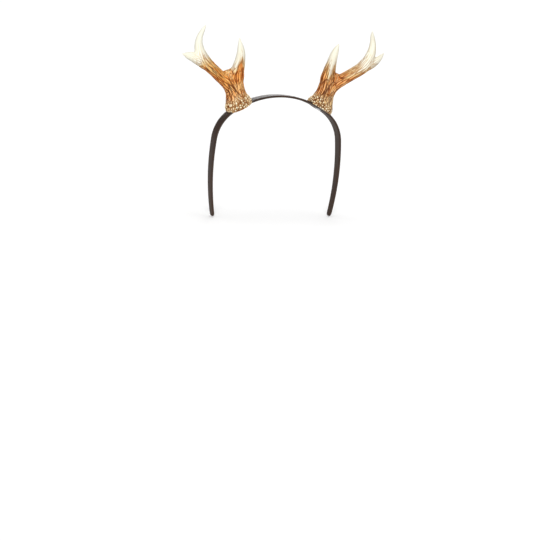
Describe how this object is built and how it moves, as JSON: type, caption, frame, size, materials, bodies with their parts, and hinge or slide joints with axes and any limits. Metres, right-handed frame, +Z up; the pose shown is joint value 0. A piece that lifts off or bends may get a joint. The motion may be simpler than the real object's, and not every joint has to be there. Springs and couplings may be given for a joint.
{
  "type": "antler headband",
  "caption": "Costume headband: a springy plastic band over the head carries a pair of small branching deer antlers with pearled burrs and pale tips.",
  "frame": {"origin": "middle of the band's inner face at the crown, where the band sits on the head", "axes": "+Z up through the crown, -Y to the front, the way the wearer faces, +X to the right as seen from the front; the band lies in the XZ plane"},
  "size_m": [0.233, 0.0323, 0.2001],
  "materials": {
    "band": "dark brown moulded plastic, smooth",
    "horn": "painted moulding, satin: cream burr, amber-brown beam with dark grooves, ivory tips",
    "pin": "plain steel"
  },
  "bodies": {
    "root": {"headband": "band", "antler_left": "horn", "antler_right": "horn", "pin_left": "pin", "pin_right": "pin"}
  },
  "joints": []
}
